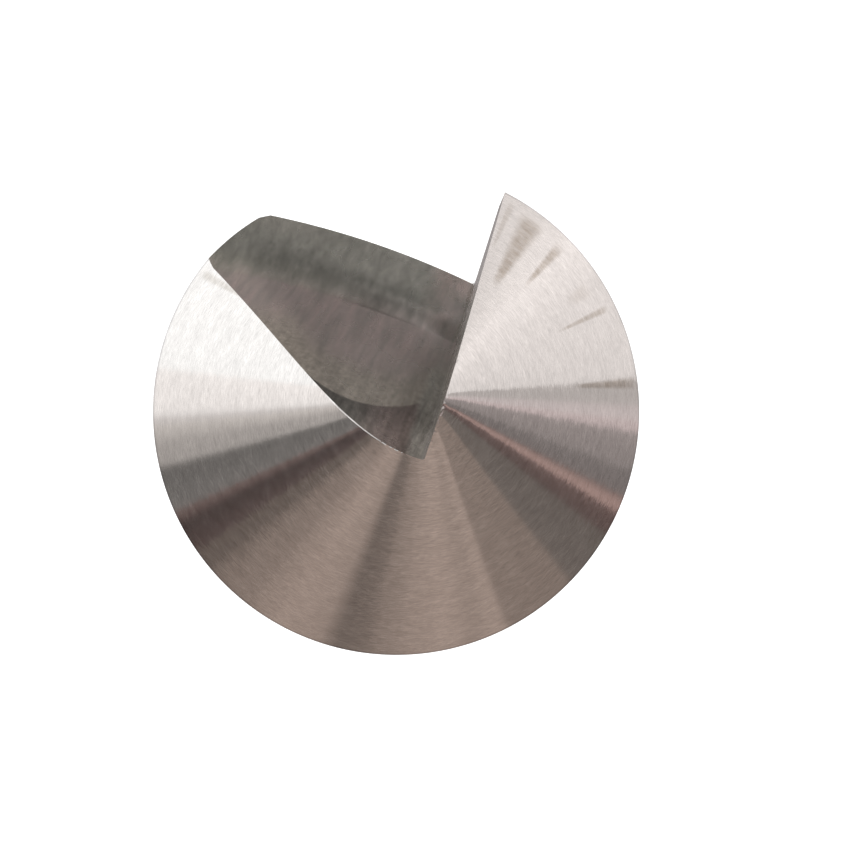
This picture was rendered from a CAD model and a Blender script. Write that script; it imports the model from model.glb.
import math

import bmesh
import bpy
from mathutils import Matrix, Vector


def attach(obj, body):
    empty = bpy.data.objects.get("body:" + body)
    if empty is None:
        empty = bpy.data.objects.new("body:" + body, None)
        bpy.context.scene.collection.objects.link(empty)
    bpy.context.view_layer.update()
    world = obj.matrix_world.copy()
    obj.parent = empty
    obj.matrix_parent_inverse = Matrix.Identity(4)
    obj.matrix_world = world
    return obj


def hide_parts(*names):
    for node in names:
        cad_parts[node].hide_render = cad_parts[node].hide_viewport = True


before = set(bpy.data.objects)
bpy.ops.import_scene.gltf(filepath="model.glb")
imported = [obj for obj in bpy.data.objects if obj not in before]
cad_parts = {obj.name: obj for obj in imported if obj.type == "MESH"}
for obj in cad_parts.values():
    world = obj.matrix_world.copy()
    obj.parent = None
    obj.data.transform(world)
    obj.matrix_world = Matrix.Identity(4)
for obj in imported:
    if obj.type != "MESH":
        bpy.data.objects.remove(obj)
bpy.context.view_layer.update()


# ---------------------------------------------------------------------------
# Countersink bit
# One bar of high-speed steel, turned and then ground all over: a plain shank,
# a short cylindrical land and a cone whose surface falls away behind the
# cutting edge. A wheel has ground one flute through the side of the cone.
# ---------------------------------------------------------------------------

mm = 0.001
shank_radius = 6.35 * mm
shank_end_chamfer = 0.8 * mm
shoulder_fillet = 1.0 * mm            # where the shank runs into the back of the head
head_radius = 12.7 * mm
head_back_chamfer = 0.2 * mm
land_length = 3.8 * mm                # plain cylinder from the back of the head to the cone
overall_length = 69.85 * mm
included_angle = math.radians(82.0)
relief_lead = 2.5 * mm                # how far the cone falls away in one full turn
rake_offset = 1.85 * mm               # how far past the axis the rake face lies, at the rim
axial_rake = math.radians(4.0)
floor_lean = math.radians(31.7)       # of the flute's floor to the axis
floor_height = 4.3 * mm               # how far beyond the axis the floor lies, at the rim
floor_crown = 52.0 * mm               # radius of the floor's slight crown
crown_offset = 4.1 * mm               # from the axis to the crest of that crown
runout_lean = math.radians(54.7)      # of the floor where the wheel runs out of the metal
runout_drop = 1.5 * mm                # how far behind the rim that steeper stretch would begin
runout_crown = 80.0 * mm
runout_radius = 6.0 * mm              # blend that leads the floor into it
flute_corner = 0.15 * mm              # bevel between the rake face and the floor
cone_slope = math.tan(included_angle / 2)
rake_slope = math.tan(axial_rake)
rim_height = overall_length - (head_radius - rake_offset) / (cone_slope - rake_slope)
back_height = rim_height - land_length
apex_height = rim_height + head_radius / cone_slope
clear_of_head = head_radius * 1.1     # the cutting bodies reach this far, past the metal
same_point = 0.0002 * mm              # corners closer than this are one
sharp_edge = math.radians(30)         # faces that meet at more than this keep a crisp edge


def chain(bm, points):
    """Joins points in the XZ plane with edges, ready to spin."""
    corners = [bm.verts.new((radius, 0, height)) for radius, height in points]
    sides = [bm.edges.new(pair) for pair in zip(corners, corners[1:])]
    return corners + sides


def make_solid(name, bm, finish):
    """Closes a bmesh into an object that wears one finish."""
    bmesh.ops.remove_doubles(bm, verts=bm.verts, dist=same_point)
    bmesh.ops.recalc_face_normals(bm, faces=bm.faces)
    for face in bm.faces:
        face.smooth = True
    mesh = bpy.data.meshes.new(name)
    bm.to_mesh(mesh)
    bm.free()
    mesh.materials.append(finish)
    solid = bpy.data.objects.new(name, mesh)
    bpy.context.scene.collection.objects.link(solid)
    return solid


turned_steel = bpy.data.materials.new("turned_steel")
flute_steel = bpy.data.materials.new("flute_steel")

# The turned bar. Rings split the plain shank, so that its facets stay short
turning_steps = 384
arc_steps = 8
shank_steps = 8
ringed_length = back_height - 2 * mm
bar = bmesh.new()
shoulder_arc = [
    (
        shank_radius + shoulder_fillet * (1 - math.cos(turn)),
        back_height - shoulder_fillet * (1 - math.sin(turn)),
    )
    for turn in (math.radians(90 * step / arc_steps) for step in range(arc_steps + 1))
]
shank_rings = [
    (shank_radius, shank_end_chamfer + ringed_length * step / shank_steps)
    for step in range(1, shank_steps)
]
outline = (
    [(0, 0), (shank_radius - shank_end_chamfer, 0), (shank_radius, shank_end_chamfer)]
    + shank_rings
    + shoulder_arc
    + [
        (head_radius - head_back_chamfer, back_height),
        (head_radius, back_height + head_back_chamfer),
        (head_radius, apex_height),
        (0, apex_height),
    ]
)
bmesh.ops.spin(
    bar, geom=chain(bar, outline), cent=(0, 0, 0), axis=(0, 0, 1),
    angle=math.tau, steps=turning_steps, use_merge=True,
)
bit = make_solid("countersink_bit_ground", bar, turned_steel)

# What the cam grinder takes off outside the cone: a profile that sinks as it goes round
relief_first = 95.0           # degrees about +Z from +X, just ahead of the cutting edge
relief_turn = 310.0           # it ends inside the flute
relief_steps = 330
slope_steps = 16
relief = bmesh.new()
inner = rake_offset / 4       # its inner side stays within the flute
relief_top = apex_height + 2 * relief_lead
slope_radii = [inner + (clear_of_head - inner) * step / slope_steps for step in range(slope_steps + 1)]
relief_outline = [(radius, apex_height - radius / cone_slope) for radius in slope_radii]
relief_outline += [(clear_of_head, relief_top), (inner, relief_top)]
ring = chain(relief, relief_outline)
corners = [part for part in ring if isinstance(part, bmesh.types.BMVert)]
relief.faces.new(corners)
bmesh.ops.rotate(
    relief, verts=relief.verts, cent=(0, 0, 0),
    matrix=Matrix.Rotation(math.radians(relief_first), 3, "Z"),
)
bmesh.ops.translate(relief, verts=relief.verts, vec=(0, 0, relief_lead * relief_first / 360))
bmesh.ops.spin(
    relief, geom=relief.verts[:] + relief.edges[:] + relief.faces[:], cent=(0, 0, 0), axis=(0, 0, -1),
    angle=math.radians(relief_turn), steps=relief_steps,
    dvec=(0, 0, -relief_lead * relief_turn / 360 / relief_steps),
)
relief_cutter = make_solid("relief_cutter", relief, turned_steel)


def leaning(lean, up, travel):
    """A direction that is part square to a floor of this lean and part along it."""
    return Vector((
        0,
        up * math.cos(lean) - travel * math.sin(lean),
        up * math.sin(lean) + travel * math.cos(lean),
    ))


# What the wheel grinds away to leave the flute. Seen from the side, its floor climbs straight
# away from the axis to the back of the head, where a blend leads it into a steeper run-out
blend_steps = 12
crease = Vector((0, floor_height + runout_drop * math.tan(floor_lean), rim_height - runout_drop))
half_bend = (runout_lean - floor_lean) / 2
blend_centre = crease + leaning(floor_lean + half_bend, runout_radius / math.cos(half_bend), 0)
floor_side = [crease + leaning(floor_lean, 0, 3 * head_radius)]
floor_side += [
    blend_centre - leaning(floor_lean + 2 * half_bend * step / blend_steps, runout_radius, 0)
    for step in range(blend_steps + 1)
]
floor_side += [crease - leaning(runout_lean, 0, 2 * head_radius)]
floor_side += [Vector((0, floor_side[-1].y, floor_side[0].z))]

crown_steps = 72
crown_reach = clear_of_head + crown_offset
flute = bmesh.new()
flute.faces.new([flute.verts.new(point) for point in floor_side])
bmesh.ops.translate(flute, verts=flute.verts, vec=(-crown_reach - crown_offset, 0, 0))
bmesh.ops.spin(
    flute, geom=flute.verts[:] + flute.edges[:] + flute.faces[:], cent=(0, 0, 0), axis=(0, 0, 1),
    angle=0, steps=crown_steps, dvec=(2 * crown_reach / crown_steps, 0, 0),
)
# The wheel's rim is worn slightly hollow, so both stretches of the floor come out crowned
for vert in flute.verts:
    out = blend_centre - Vector((0, vert.co.y, vert.co.z))
    lean = min(max(math.atan2(out.z, out.y), floor_lean), runout_lean)
    radius = floor_crown + (runout_crown - floor_crown) * (lean - floor_lean) / (2 * half_bend)
    drop = radius - math.sqrt(radius ** 2 - (vert.co.x + crown_offset) ** 2)
    vert.co -= leaning(lean, drop, 0)
# The flat side of the wheel leaves the rake face, and its corner the bevel at the floor's side
rake_normal = Vector((1, 0, rake_slope)).normalized()
rake_point = Vector((rake_offset, 0, rim_height))
trimmed = bmesh.ops.bisect_plane(
    flute, geom=flute.verts[:] + flute.edges[:] + flute.faces[:],
    plane_co=rake_point, plane_no=rake_normal, clear_outer=True,
)
rake_rim = [part for part in trimmed["geom_cut"] if isinstance(part, bmesh.types.BMEdge)]
bmesh.ops.edgeloop_fill(flute, edges=rake_rim)
up_from_floor = leaning(floor_lean, 1, 0)
up_from_runout = leaning(runout_lean, 1, 0)
rake_foot = [
    edge for edge in rake_rim
    if any(all((vert.co - crease) @ up < 0 for vert in edge.verts) for up in (up_from_floor, up_from_runout))
]
bmesh.ops.bevel(
    flute, geom=rake_foot, offset=flute_corner, affect="EDGES",
    segments=6, profile=0.5, material=-1,
)
bmesh.ops.triangulate(flute, faces=flute.faces[:])
flute_cutter = make_solid("flute_cutter", flute, flute_steel)

for cutter in (flute_cutter, relief_cutter):
    cut = bit.modifiers.new(cutter.name, "BOOLEAN")
    cut.operation = "DIFFERENCE"
    cut.object = cutter
    cut.solver = "EXACT"
    cut.material_mode = "TRANSFER"
ground = bpy.data.meshes.new_from_object(
    bit.evaluated_get(bpy.context.evaluated_depsgraph_get())
)
bit.modifiers.clear()
bit.data = ground
for cutter in (flute_cutter, relief_cutter):
    bpy.data.objects.remove(cutter)
ground.set_sharp_from_angle(angle=sharp_edge)

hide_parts("countersink_bit")
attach(bit, "root")


def new_node(tree, kind, label, **values):
    """Adds a node, names it and sets its plain properties."""
    node = tree.nodes.new(kind)
    node.name = node.label = label
    for key, value in values.items():
        setattr(node, key, value)
    return node


def feed(tree, socket, value):
    """Gives a node's input its value: another node's output, a number, or a tuple of them."""
    if isinstance(value, bpy.types.NodeSocket):
        tree.links.new(value, socket)
    elif value is not None:
        socket.default_value = value


def calculate(tree, operation, first, second=None, label=""):
    """One Math node."""
    node = new_node(tree, "ShaderNodeMath", label or operation.lower(), operation=operation)
    feed(tree, node.inputs[0], first)
    feed(tree, node.inputs[1], second)
    return node.outputs[0]


def product(tree, first, *others, label="product"):
    """Multiplies sockets and numbers, one after another."""
    for factor in others:
        first = calculate(tree, "MULTIPLY", first, factor, label)
    return first


def vector(tree, operation, first, second=None, label=""):
    """One Vector Math node."""
    node = new_node(tree, "ShaderNodeVectorMath", label or operation.lower(), operation=operation)
    feed(tree, node.inputs[0], first)
    feed(tree, node.inputs[1], second)
    return node.outputs["Value"] if operation in ("DOT_PRODUCT", "LENGTH") else node.outputs["Vector"]


def between(tree, amount, low, high, label):
    """Goes from one number to another as the amount goes from 0 to 1."""
    node = new_node(tree, "ShaderNodeMix", label)
    for index, value in ((0, amount), (2, low), (3, high)):
        feed(tree, node.inputs[index], value)
    return node.outputs[0]


def blend_colours(tree, amount, under, over, kind="MIX", label=""):
    """One colour Mix node; under and over are sockets or colours."""
    node = new_node(tree, "ShaderNodeMix", label or kind.lower(), data_type="RGBA", blend_type=kind)
    feed(tree, node.inputs[0], amount)
    for index, colour in ((6, under), (7, over)):
        feed(tree, node.inputs[index], (*colour, 1) if isinstance(colour, tuple) else colour)
    return node.outputs[2]


def grain(tree, place, scales, detail, label):
    """Noise from 0 to 1 whose grain has its own scale on each of three axes, per metre."""
    node = new_node(tree, "ShaderNodeTexNoise", label)
    tree.links.new(vector(tree, "MULTIPLY", place, scales, label + " scale"), node.inputs["Vector"])
    node.inputs["Scale"].default_value = 1
    node.inputs["Detail"].default_value = detail
    node.inputs["Roughness"].default_value = 0.6
    return node.outputs["Fac"]


def spread(tree, value, low, high, label):
    """Maps a noise's middle part, 0.3 to 0.7, to low and high."""
    node = new_node(tree, "ShaderNodeMapRange", label)
    tree.links.new(value, node.inputs["Value"])
    for name, number in (("From Min", 0.3), ("From Max", 0.7), ("To Min", low), ("To Max", high)):
        node.inputs[name].default_value = number
    return node.outputs["Result"]


def fade(tree, value, nought_at, one_at, label):
    """A soft step from 0 to 1 between two values."""
    node = new_node(tree, "ShaderNodeMapRange", label, interpolation_type="SMOOTHSTEP")
    tree.links.new(value, node.inputs["Value"])
    node.inputs["From Min"].default_value = nought_at
    node.inputs["From Max"].default_value = one_at
    return node.outputs["Result"]


def tilt(tree, normal, tilts, label):
    """Leans the normal towards each given direction by its given amount."""
    for towards, amount in tilts:
        lean = new_node(tree, "ShaderNodeVectorMath", label, operation="SCALE")
        feed(tree, lean.inputs[0], towards)
        feed(tree, lean.inputs["Scale"], amount)
        normal = vector(tree, "ADD", normal, lean.outputs["Vector"], label)
    return vector(tree, "NORMALIZE", normal, label=label)


def bare_metal(material, anisotropy):
    """Starts a finish of bare steel, and gives the sockets that the rest of it is built on."""
    material.use_nodes = True
    tree = material.node_tree
    shader = tree.nodes["Principled BSDF"]
    shader.inputs["Metallic"].default_value = 1
    shader.inputs["Anisotropic"].default_value = anisotropy
    place = new_node(tree, "ShaderNodeTexCoord", "object place").outputs["Object"]
    normal = new_node(tree, "ShaderNodeNewGeometry", "surface").outputs["Normal"]
    return tree, shader, place, normal


def distance_along(tree, place, direction, label):
    """How far a place lies along a fixed direction."""
    return vector(tree, "DOT_PRODUCT", place, tuple(direction), label)


steel_grey = (0.62, 0.60, 0.58)
worn_grey = (0.62, 0.62, 0.64)
oil_brown = (0.58, 0.53, 0.47)
# Old stains on the cone: degrees about +Z from +X, where each starts and ends outwards from
# the axis, how fast it widens, and its strength
oil_stains = (
    (72.6, 6.9 * mm, 12.0 * mm, 0.095, 1.0),
    (63.3, 8.2 * mm, 11.8 * mm, 0.055, 1.0),
    (50.5, 9.6 * mm, 11.6 * mm, 0.12, 0.35),
    (43.9, 8.2 * mm, 12.0 * mm, 0.035, 0.85),
    (24.5, 8.2 * mm, 12.5 * mm, 0.050, 0.95),
    (86.0, 8.0 * mm, 12.2 * mm, 0.060, 0.5),
    (79.2, 8.8 * mm, 12.2 * mm, 0.040, 0.5),
    (162.5, 9.0 * mm, 12.5 * mm, 0.050, 0.55),
)


def oil_stained(tree, place, turns, steel):
    """Brown stains that old oil has left: each is a blotchy streak that widens down the cone."""
    blotches = spread(tree, grain(tree, turns, (1300, 1300, 2200), 3, "blotches"), 0.5, 1.0, "blotchy")
    for azimuth, start, end, widening, strength in oil_stains:
        along_it = Matrix.Rotation(math.radians(azimuth), 3, "Z")
        outwards = distance_along(tree, place, along_it.col[0], "stain outwards")
        aside = calculate(tree, "ABSOLUTE", distance_along(tree, place, along_it.col[1], "stain aside"))
        reach = calculate(tree, "SUBTRACT", outwards, start - 1.5 * mm, "stain reach")
        reach = calculate(tree, "MAXIMUM", reach, 0.1 * mm, "stain reach")
        narrowness = calculate(tree, "DIVIDE", aside, reach, "stain narrowness")
        stain = product(
            tree,
            fade(tree, outwards, start, start + 1.2 * mm, "stain start"),
            fade(tree, outwards, end + 0.3 * mm, end - 0.5 * mm, "stain end"),
            fade(tree, narrowness, 1.5 * widening, 0.3 * widening, "stain width"),
            blotches, strength, label="stain",
        )
        steel = blend_colours(tree, stain, steel, oil_brown, "MULTIPLY", "stained steel")
    return steel


def burr_by_the_flute(tree, place, beside, height, chip_places):
    """A bright burr stands along the edge where the flute's floor comes out, near the point."""
    from_crest = calculate(tree, "ADD", beside, crown_offset, "from the crest")
    from_crest = calculate(tree, "ABSOLUTE", from_crest)
    crown = product(tree, calculate(tree, "POWER", from_crest, 2.0), 1 / (2 * floor_crown), label="crown")
    above = calculate(tree, "ADD", distance_along(tree, place, up_from_floor, "up from the floor"), crown)
    floor_level = up_from_floor.dot(Vector((0, floor_height, rim_height)))
    under_floor = calculate(tree, "SUBTRACT", floor_level, above, "under the floor")
    crumbs = product(
        tree, fade(tree, chip_places, 0.50, 0.54, "crumbs of burr"),
        fade(tree, beside, 0.3 * mm, 0.0, "burr end"),
    )
    whole = fade(tree, beside, -0.9 * mm, -1.6 * mm, "whole burr")
    return product(
        tree, fade(tree, under_floor, 0.07 * mm, 0.04 * mm, "burr width"),
        calculate(tree, "MAXIMUM", whole, crumbs, "whole or in crumbs"),
        fade(tree, height, rim_height + 8.3 * mm, rim_height + 9.3 * mm, "burr start"),
        label="burr",
    )


def chips_in_the_edge(tree, place, radius, chip_places):
    """Small chips along the cutting edge glint close to the point."""
    past_rake = distance_along(tree, place, rake_normal, "along the rake normal")
    behind_rake = calculate(tree, "SUBTRACT", past_rake, rake_point.dot(rake_normal), "behind the rake face")
    return product(
        tree, fade(tree, behind_rake, 0.16 * mm, 0.06 * mm, "chip width"),
        fade(tree, chip_places, 0.50, 0.56, "chips"),
        fade(tree, radius, 2.9 * mm, 2.2 * mm, "chips near the point"),
        label="chips",
    )


def evened_by_the_cam(tree, normal, radius, height):
    """The relief leans the cone more and more towards the point, and the cam evens that out."""
    relief_pitch = relief_lead / math.tau
    from_axis = calculate(tree, "MAXIMUM", radius, 1.2 * mm, "from the axis")
    lean_here = calculate(tree, "DIVIDE", relief_pitch, from_axis, "lean at this radius")
    excess = calculate(tree, "SUBTRACT", lean_here, relief_pitch / (8 * mm), "excess lean")
    upright = calculate(tree, "MAXIMUM", distance_along(tree, normal, (0, 0, 1), "facing up"), 0.0)
    on_cone = fade(tree, height, rim_height - 2 * mm, rim_height - 1.5 * mm, "on the cone")
    return product(tree, excess, upright, on_cone, label="evened lean")


def finish_turned(material):
    """Ground round and round: short strokes lie along each turn, and the slope stays smooth."""
    tree, shader, place, normal = bare_metal(material, anisotropy=1.0)
    level = vector(tree, "MULTIPLY", place, (1, 1, 0), "radius vector")
    around = vector(tree, "NORMALIZE", vector(tree, "CROSS_PRODUCT", (0, 0, 1), level, "around"))
    along = vector(tree, "CROSS_PRODUCT", around, normal, "along the slope")
    tree.links.new(along, shader.inputs["Tangent"])

    # Height less radius changes along the cone, the cylinders and the flat ends alike
    parts = new_node(tree, "ShaderNodeSeparateXYZ", "x y z")
    tree.links.new(place, parts.inputs[0])
    beside, ahead, height = parts.outputs
    radius = vector(tree, "LENGTH", level, label="radius")
    down = calculate(tree, "SUBTRACT", height, radius, "down the profile")
    wrapped = new_node(tree, "ShaderNodeCombineXYZ", "round and down")
    for socket, value in zip(wrapped.inputs, (beside, ahead, down)):
        tree.links.new(value, socket)
    turns = wrapped.outputs[0]

    strokes = grain(tree, turns, (3100, 3100, 15500), 3, "strokes")
    scratches = grain(tree, turns, (1500, 1500, 24000), 1, "fine scratches")
    clouds = grain(tree, turns, (900, 900, 1500), 4, "clouds")
    shade = product(
        tree, spread(tree, strokes, 0.84, 1.13, "stroke shade"),
        spread(tree, scratches, 0.94, 1.05, "scratch shade"),
        spread(tree, clouds, 0.92, 1.07, "cloud shade"),
        label="shade",
    )
    steel = vector(tree, "MULTIPLY", steel_grey, shade, "shaded steel")
    steel = oil_stained(tree, place, turns, steel)
    # The outer edge is a little worn and duller
    worn = product(tree, fade(tree, radius, 12.58 * mm, 12.68 * mm, "outer edge"), 0.75)
    steel = blend_colours(tree, worn, steel, worn_grey, "MULTIPLY", "worn edge")
    tree.links.new(steel, shader.inputs["Base Color"])
    tree.links.new(spread(tree, clouds, 0.185, 0.205, "cloudy gloss"), shader.inputs["Roughness"])

    chip_places = grain(tree, place, (5000, 5000, 5000), 1, "chip places")
    leaned = tilt(
        tree, normal,
        [
            (around, evened_by_the_cam(tree, normal, radius, height)),
            (around, spread(tree, strokes, -0.014, 0.014, "stroke lean")),
            (along, spread(tree, scratches, -0.01, 0.01, "scratch lean")),
            ((0.2, 0.75, 0.2), burr_by_the_flute(tree, place, beside, height, chip_places)),
            ((0.3, 0.6, 0.1), chips_in_the_edge(tree, place, radius, chip_places)),
        ],
        "ground normal",
    )
    tree.links.new(leaned, shader.inputs["Normal"])


# Tones of the flute's steel
greenish = (0.46, 0.445, 0.416)
pinkish = (0.50, 0.427, 0.410)
straw = (0.485, 0.45, 0.40)
point_green = (0.245, 0.235, 0.215)
point_red = (0.30, 0.245, 0.23)
strip_dark = (0.37, 0.37, 0.34)
strip_pale = (0.71, 0.70, 0.66)
rake_inner = (0.80, 0.77, 0.73)
rake_outer = (1.0, 1.0, 1.0)
# Marks on the flute's floor. Each pair is where, in mm, the mark is absent and where it is full:
# as it begins and ends along the wheel's travel, and then across it. Its tone comes last
floor_marks = (
    ("far side", (43.2, 45.0), (90.0, 80.0), (-5.5, -10.0), (-30.0, -20.0), (1.22, 1.24, 1.26)),
    ("run-out", (41.6, 43.2), (45.3, 43.4), (-11.0, -8.0), (0.5, -0.8), (0.66, 0.66, 0.66)),
    ("run-out by the corner", (42.8, 43.8), (45.08, 44.84), (-5.5, -2.5), (2.8, 0.6), (0.62, 0.61, 0.61)),
    ("back edge, far side", (20.0, 30.0), (41.8, 40.5), (-5.0, -8.5), (-30.0, -20.0), (1.22, 1.20, 1.20)),
    ("back edge by the corner", (20.0, 30.0), (42.3, 41.3), (-0.4, 1.1), (9.0, 8.0), (1.12, 1.07, 1.07)),
    ("corner of the run-out", (41.4, 42.4), (46.5, 44.5), (0.2, 1.8), (9.0, 8.0), (0.88, 0.88, 0.89)),
)


def marked(tree, tone, across, along):
    """The marks that the wheel has left on the floor, each in its own tone."""
    for label, along_in, along_out, across_in, across_out, mark_tone in floor_marks:
        edges = ((along, along_in), (along, along_out), (across, across_in), (across, across_out))
        sides = [
            fade(tree, value, nought_at * mm, one_at * mm, label)
            for value, (nought_at, one_at) in edges
        ]
        tone = blend_colours(tree, product(tree, *sides, label=label), tone, mark_tone, "MULTIPLY", label)
    return tone


def lighter_by_the_cone(tree, tone, place, across, along):
    """The floor's far side grows lighter close under the cone."""
    level = vector(tree, "MULTIPLY", place, (1, 1, 0), "radius vector")
    profile = calculate(
        tree, "ADD", vector(tree, "LENGTH", level, label="radius"),
        distance_along(tree, place, (0, 0, cone_slope), "height on the cone"),
    )
    below_cone = calculate(
        tree, "SUBTRACT", head_radius + rim_height * cone_slope, profile, "below the cone"
    )
    by_the_cone = product(
        tree, fade(tree, below_cone, 4.2 * mm, 2.2 * mm, "by the cone"),
        fade(tree, along, 43.2 * mm, 45 * mm, "past the run-out"),
        fade(tree, across, -4 * mm, -6.5 * mm, "by the cone's far side"),
    )
    return blend_colours(tree, by_the_cone, tone, (1.25, 1.24, 1.22), "MULTIPLY", "lighter by the cone")


def toned_near_the_point(tree, tone, across, past_line, near_point):
    """Past the bowed line the floor is deeply scored and dark, and less so towards the point."""
    hue = blend_colours(
        tree, fade(tree, across, -3 * mm, -1 * mm, "redder towards the corner"),
        point_green, point_red, label="tones near the point",
    )
    dark, light = (vector(tree, "MULTIPLY", hue, (level,) * 3, "point level") for level in (0.66, 1.12))
    towards_point = fade(tree, past_line, 0.2 * mm, 2.8 * mm, "lighter towards the point")
    hue = blend_colours(tree, towards_point, dark, light, label="point shade")
    return blend_colours(tree, near_point, tone, hue, label="tone near the point")


def toned_by_the_corner(tree, tone, along, corner_strip):
    """A ragged strip beside the corner turns from dark to pale close to the point."""
    strength = product(
        tree, corner_strip, fade(tree, along, 44 * mm, 51 * mm, "strip towards the point"), 0.8
    )
    strip_tone = blend_colours(
        tree, fade(tree, along, 54.5 * mm, 57.5 * mm, "strip near the point"),
        strip_dark, strip_pale, label="strip tones",
    )
    return blend_colours(tree, strength, tone, strip_tone, label="strip tone")


def toned_rake_face(tree, tone, place, to_rake):
    """The rake face is clean bright steel, brightest along the outer half of the edge."""
    outwards = distance_along(tree, place, (0, 1, 0), "outwards along the edge")
    rake_tone = blend_colours(
        tree, fade(tree, outwards, 2 * mm, 7 * mm, "outer half of the edge"),
        rake_inner, rake_outer, label="rake tones",
    )
    on_rake = fade(tree, to_rake, 0.06 * mm, 0.02 * mm, "on the rake face")
    return blend_colours(tree, on_rake, tone, rake_tone, label="rake tone")


def finish_flute(material):
    """Ground in one pass by the side and edge of a wheel: straight scratches run down the floor."""
    tree, shader, place, normal = bare_metal(material, anisotropy=0.9)
    travel = tuple(leaning(floor_lean, 0, 1))
    cross_grain = vector(tree, "CROSS_PRODUCT", normal, travel, "across the scratches")
    cross_grain = vector(tree, "NORMALIZE", cross_grain)
    tree.links.new(cross_grain, shader.inputs["Tangent"])

    # The wheel's own axes: across the floor, up from it and along its travel
    across = distance_along(tree, place, (1, 0, 0), "across")
    up = distance_along(tree, place, up_from_floor, "up")
    along = distance_along(tree, place, travel, "along")
    wheel = new_node(tree, "ShaderNodeCombineXYZ", "wheel axes")
    for socket, value in zip(wheel.inputs, (across, up, along)):
        tree.links.new(value, socket)
    # The scratches run a little askew
    askew = new_node(tree, "ShaderNodeVectorRotate", "askew", rotation_type="Y_AXIS")
    tree.links.new(wheel.outputs[0], askew.inputs["Vector"])
    askew.inputs["Angle"].default_value = math.radians(7)
    swept = askew.outputs[0]
    scratches = grain(tree, swept, (5200, 5200, 420), 3, "scratches")
    furrows = grain(tree, swept, (1900, 1900, 230), 2, "furrows")
    speckle = grain(tree, swept, (3600, 3600, 3000), 2, "speckle")
    patches = grain(tree, swept, (300, 300, 220), 3, "patches")
    wander = spread(tree, patches, -0.5 * mm, 0.5 * mm, "wander")

    # The floor is pale up to a line that bows across it near the point
    line_place = 55.38 * mm
    from_bow = calculate(tree, "ADD", across, 2.9 * mm, "across from the bow")
    bow = product(tree, from_bow, from_bow, -200.0, label="bow")
    bow = calculate(tree, "MAXIMUM", bow, -2.8 * mm, "bow")
    past_bow = calculate(tree, "SUBTRACT", along, bow, "past the bow")
    past_line = calculate(tree, "SUBTRACT", past_bow, line_place, "past the line")
    near_point = fade(tree, past_line, -0.14 * mm, 0.08 * mm, "near the point")
    wandering = calculate(tree, "ADD", past_line, wander, "wandering line")
    pale = fade(tree, wandering, -5.0 * mm, -1.9 * mm, "pale zone")
    past_rake = distance_along(tree, place, rake_normal, "along the rake normal")
    to_rake = calculate(tree, "SUBTRACT", rake_point.dot(rake_normal), past_rake, "to the rake face")
    ragged = calculate(tree, "ADD", to_rake, product(tree, wander, 0.4), "ragged strip")
    corner_strip = fade(tree, ragged, 1.15 * mm, 0.65 * mm, "strip by the corner")

    # The steel looks greenish where the wheel ran out, and pinkish elsewhere
    pinker = calculate(
        tree, "MAXIMUM",
        fade(tree, along, 43.4 * mm, 45.2 * mm, "pinker past the run-out"),
        fade(tree, across, -0.8 * mm, 0.6 * mm, "pinker by the corner"),
    )
    patchy = calculate(
        tree, "ADD",
        spread(tree, patches, 0.4, 0.8, "patch mask"), spread(tree, furrows, 0, 1.1, "furrow mask"),
    )
    tone = blend_colours(tree, product(tree, patchy, 0.6, pinker), greenish, pinkish, label="patchy tone")
    tone = blend_colours(tree, pale, tone, straw, label="pale tone")
    tone = marked(tree, tone, across, along)
    tone = lighter_by_the_cone(tree, tone, place, across, along)
    dark_side = product(
        tree, fade(tree, to_rake, 4.6 * mm, 1.2 * mm, "dark side"),
        fade(tree, along, 44.5 * mm, 48.5 * mm, "dark side start"),
    )
    tone = blend_colours(tree, dark_side, tone, (0.72, 0.72, 0.71), "MULTIPLY", "darker near the corner")
    tone = toned_near_the_point(tree, tone, across, past_line, near_point)
    tone = toned_by_the_corner(tree, tone, along, corner_strip)
    tone = toned_rake_face(tree, tone, place, to_rake)

    # Pale and speckled before the line, and deeply scored past it
    scored = between(
        tree, near_point, spread(tree, scratches, 0.93, 1.06, "scratch shade"),
        spread(tree, scratches, 0.74, 1.26, "deep scratch shade"), "score by zone",
    )
    speckled = between(
        tree, pale, spread(tree, speckle, 0.96, 1.03, "speckled shade"),
        spread(tree, speckle, 0.80, 1.14, "pale speckled shade"), "speckle by zone",
    )
    shade = product(tree, scored, spread(tree, furrows, 0.86, 1.13, "furrow shade"), speckled, label="shade")
    tree.links.new(vector(tree, "MULTIPLY", tone, shade, "shaded tone"), shader.inputs["Base Color"])
    tree.links.new(spread(tree, patches, 0.25, 0.29, "patchy gloss"), shader.inputs["Roughness"])
    furrow_lean = spread(tree, furrows, -0.03, 0.03, "furrow lean")
    leaned = tilt(tree, normal, [(cross_grain, furrow_lean)], "scratched normal")
    tree.links.new(leaned, shader.inputs["Normal"])


finish_turned(turned_steel)
finish_flute(flute_steel)


# ---------------------------------------------------------------------------
# Floor
# A wide round table top of matt white card, on which the bit stands. It glows
# a little where it is seen or mirrored, so that it looks white to its edge.
# ---------------------------------------------------------------------------

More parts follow.
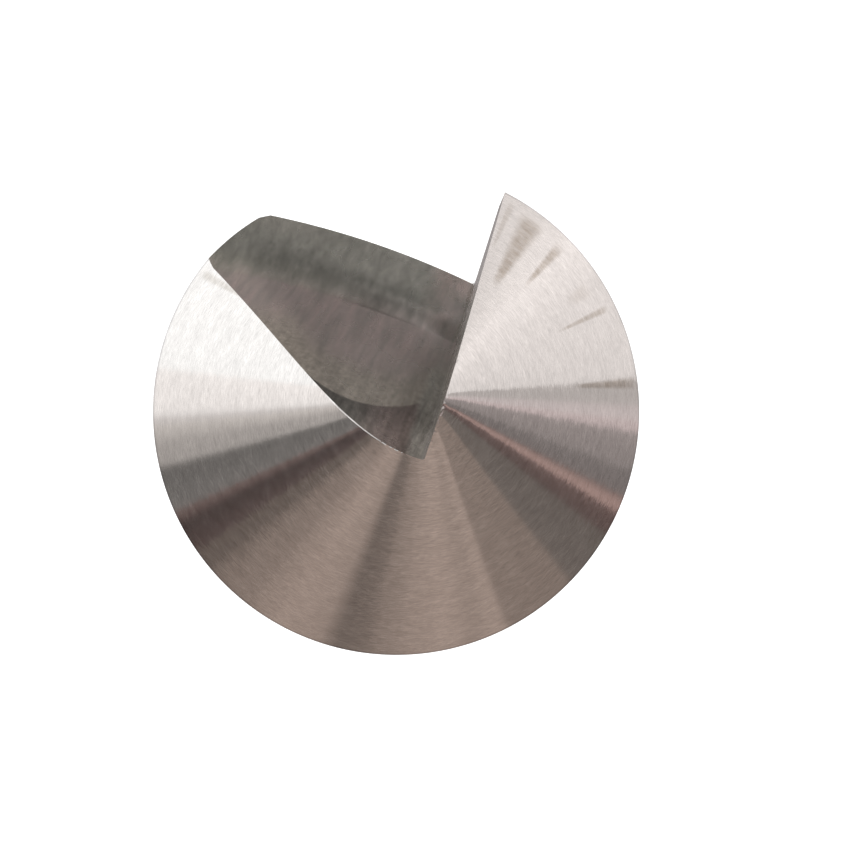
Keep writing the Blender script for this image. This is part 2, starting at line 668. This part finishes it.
floor_radius = 2.0
card_white = (0.9, 0.9, 0.9, 1)
floor_glow = 0.55
floor_mesh = bmesh.new()
bmesh.ops.create_circle(floor_mesh, cap_ends=True, segments=96, radius=floor_radius)
floor_data = bpy.data.meshes.new("studio_floor")
floor_mesh.to_mesh(floor_data)
floor_mesh.free()
studio_floor = bpy.data.objects.new("studio_floor", floor_data)
bpy.context.scene.collection.objects.link(studio_floor)
white_floor = bpy.data.materials.new("white_floor")
white_floor.use_nodes = True
floor_data.materials.append(white_floor)
tree = white_floor.node_tree
paint = tree.nodes["Principled BSDF"]
paint.inputs["Base Color"].default_value = card_white
paint.inputs["Roughness"].default_value = 0.9
paint.inputs["Specular IOR Level"].default_value = 0.0
paint.inputs["Emission Color"].default_value = (1, 1, 1, 1)
ray = new_node(tree, "ShaderNodeLightPath", "ray kind")
seen = calculate(
    tree, "MAXIMUM", ray.outputs["Is Camera Ray"], ray.outputs["Is Glossy Ray"], "seen or mirrored",
)
tree.links.new(product(tree, seen, floor_glow), paint.inputs["Emission Strength"])


# ---------------------------------------------------------------------------
# Boards round the bit
# Upright boards stand in a ring on the floor, edge to edge. Only the polished
# metal sees them: white sheets on two sides, grey and brown card elsewhere.
# ---------------------------------------------------------------------------

board_distance = 120 * mm
board_height = 130 * mm
foot_height = 9 * mm          # a slanting foot leads each board down to the floor
foot_depth = 4 * mm
off_floor = 1 * mm
sheet_middle = 40 * mm        # sheets lie on the floor from the boards in to the bit
sheet_end = 12 * mm
ring_steps = 1440
daylight = (1, 1.01, 1.02)
pearl = (1, 0.97, 0.965)
white = (1, 0.95, 0.94)
rose = (1, 0.93, 0.91)
blush = (1, 0.89, 0.89)
pink = (1, 0.84, 0.84)
mauve = (1, 0.88, 0.865)
maroon = (1, 0.68, 0.62)
plum = (1, 0.66, 0.61)
umber = (1, 0.84, 0.76)
brown = (1, 0.78, 0.675)
grey = (1, 0.94, 0.905)
# Start and end in degrees about +Z from +X, then the brightness at each end and the card
boards = [
    (92, 66, 1.18, 1.48, white),
    (66, 60, 1.58, 1.61, white),
    (60, 50, 1.46, 1.31, white),
    (50, 25.4, 1.28, 1.13, white),
    (25.4, 20, 0.69, 0.71, rose),
    (20, 16.5, 0.84, 0.87, blush),
    (16.5, 14, 0.87, 0.81, pink),
    (14, 5.5, 0.455, 0.385, mauve),
    (5.5, -0.5, 0.285, 0.255, mauve),
    (-0.5, -1.6, 0.28, 0.36, maroon),
    (-1.6, -4.2, 0.50, 0.62, maroon),
    (-4.2, -10, 0.182, 0.142, plum),
    (-10, -23.5, 0.190, 0.207, umber),
    (-23.5, -32, 0.330, 0.325, brown),
    (-32, -42.1, 0.350, 0.335, brown),
    (-42.1, -47, 0.530, 0.510, brown),
    (-47, -53, 0.465, 0.475, brown),
    (-53, -60, 0.515, 0.545, brown),
    (-60, -68, 0.515, 0.465, brown),
    (-68, -77, 0.440, 0.335, brown),
    (-77, -85.5, 0.280, 0.210, brown),
    (-85.5, -89, 0.235, 0.39, brown),
    (-89, -101, 0.455, 0.530, brown),
    (-101, -110, 0.515, 0.405, brown),
    (-110, -120, 0.365, 0.320, brown),
    (-120, -123, 0.285, 0.245, brown),
    (-123, -129, 0.180, 0.180, brown),
    (-129, -137, 0.120, 0.065, plum),
    (-137, -140.5, 0.095, 0.235, plum),
    (-140.5, -150.5, 0.250, 0.190, grey),
    (-150.5, -152.5, 0.17, 0.27, grey),
    (-152.5, -159, 0.56, 0.585, grey),
    (-159, -163.5, 0.63, 0.90, grey),
    (-163.5, -165.2, 0.88, 0.93, white),
    (-165.2, -167, 1.15, 1.32, pearl),
    (-167, -178, 1.34, 1.47, pearl),
    (-178, -225, 1.60, 1.72, daylight),
    (-225, -268, 1.00, 1.00, white),
]
ring_start = boards[0][0]
# On the open side of the flute a cloth lies on the floor, and a darker one hangs behind it.
# Each has its start and end in degrees, its light, and the part of the boards that it covers
cloth_edge = 106 * mm
hem = 62 * mm
cloths = [
    (60, 140, (0.306, 0.279, 0.273), lambda reach, height: reach < cloth_edge),
    (60, 132, (0.291, 0.288, 0.270), lambda reach, height: height > hem),
    (82, 140, (0.28, 0.275, 0.25), lambda reach, height: reach >= cloth_edge and height <= hem),
]

board_ring = bmesh.new()
light_layer = board_ring.loops.layers.float_color.new("board_light")
board_profile = [
    (board_distance, board_height),
    (board_distance, hem),
    (board_distance, foot_height),
    (board_distance - foot_depth, off_floor),
    (cloth_edge, off_floor),
    (sheet_middle, off_floor),
    (sheet_end, off_floor),
]
bmesh.ops.spin(
    board_ring, geom=chain(board_ring, board_profile), cent=(0, 0, 0), axis=(0, 0, -1),
    angle=math.tau, steps=ring_steps,
)
for face in board_ring.faces:
    middle = face.calc_center_median()
    turn = (math.degrees(math.atan2(middle.y, middle.x)) - ring_start) % 360 - (360 - ring_start)
    start, end, first, last, card = next(b for b in boards if b[1] <= turn <= b[0])
    level = first + (last - first) * (start - turn) / (start - end)
    light = [level * part for part in card]
    for cloth_from, cloth_to, cloth_light, covers in cloths:
        if cloth_from < turn % 360 < cloth_to and covers(math.hypot(middle.x, middle.y), middle.z):
            light = cloth_light
    for loop in face.loops:
        loop[light_layer] = (*light, 1)
board_data = bpy.data.meshes.new("reflection_boards")
board_ring.to_mesh(board_data)
board_ring.free()
reflection_boards = bpy.data.objects.new("reflection_boards", board_data)
bpy.context.scene.collection.objects.link(reflection_boards)
# The metal mirrors the boards, and they neither light nor hide anything
reflection_boards.visible_camera = False
reflection_boards.visible_diffuse = False
reflection_boards.visible_shadow = False
reflection_boards.visible_transmission = False
reflection_boards.visible_volume_scatter = False

board_card = bpy.data.materials.new("board_card")
board_card.use_nodes = True
tree = board_card.node_tree
tree.nodes.remove(tree.nodes["Principled BSDF"])
glow = new_node(tree, "ShaderNodeEmission", "card")
card_colour = new_node(tree, "ShaderNodeAttribute", "painted light", attribute_name="board_light")
tree.links.new(card_colour.outputs["Color"], glow.inputs["Color"])
tree.links.new(glow.outputs["Emission"], tree.nodes["Material Output"].inputs["Surface"])
board_data.materials.append(board_card)


# ---------------------------------------------------------------------------
# Studio light
# A white tent stands over the whole table and is lit evenly from outside, so
# soft light reaches the bit from every side and it throws hardly any shadow.
# ---------------------------------------------------------------------------

world = bpy.data.worlds.new("studio")
bpy.context.scene.world = world
world.use_nodes = True
world.node_tree.nodes["Background"].inputs["Color"].default_value = (1, 1, 1, 1)
world.node_tree.nodes["Background"].inputs["Strength"].default_value = 1.0


# ---------------------------------------------------------------------------
# Camera
# It hangs about 100 mm over the point, beside the axis on the flute's side,
# and looks down and a little across the cone, so that the head hides the shank.
# ---------------------------------------------------------------------------

camera_place = Vector((-8.18, -8.63, 170.58)) * mm
camera_turn = math.radians(17.9)      # about +Z, before it leans
rise_in_radii = 9.0                   # from the rim up to the camera, in radii of the head
head_in_view = 243.3                  # the head's radius as the camera sees it, in pixels
right_in_view = 226.5                 # from the spot under the camera to the middle of the view
up_in_view = 94.8
turn = Matrix.Rotation(camera_turn, 3, "Z")
sight = turn @ Vector((right_in_view / head_in_view, up_in_view / head_in_view, -rise_in_radii))
sight.normalize()
side = turn @ Vector((1, 0, 0))
up = side.cross(sight).normalized()
side = sight.cross(up)
camera_data = bpy.data.cameras.new("camera")
camera_data.lens = 93.55
camera_data.sensor_width = 36
camera_data.clip_start = 0.005
camera = bpy.data.objects.new("camera", camera_data)
bpy.context.scene.collection.objects.link(camera)
camera.matrix_world = Matrix.Translation(camera_place) @ Matrix((side, up, -sight)).transposed().to_4x4()
bpy.context.scene.camera = camera

scene = bpy.context.scene
scene.view_settings.view_transform = "Standard"
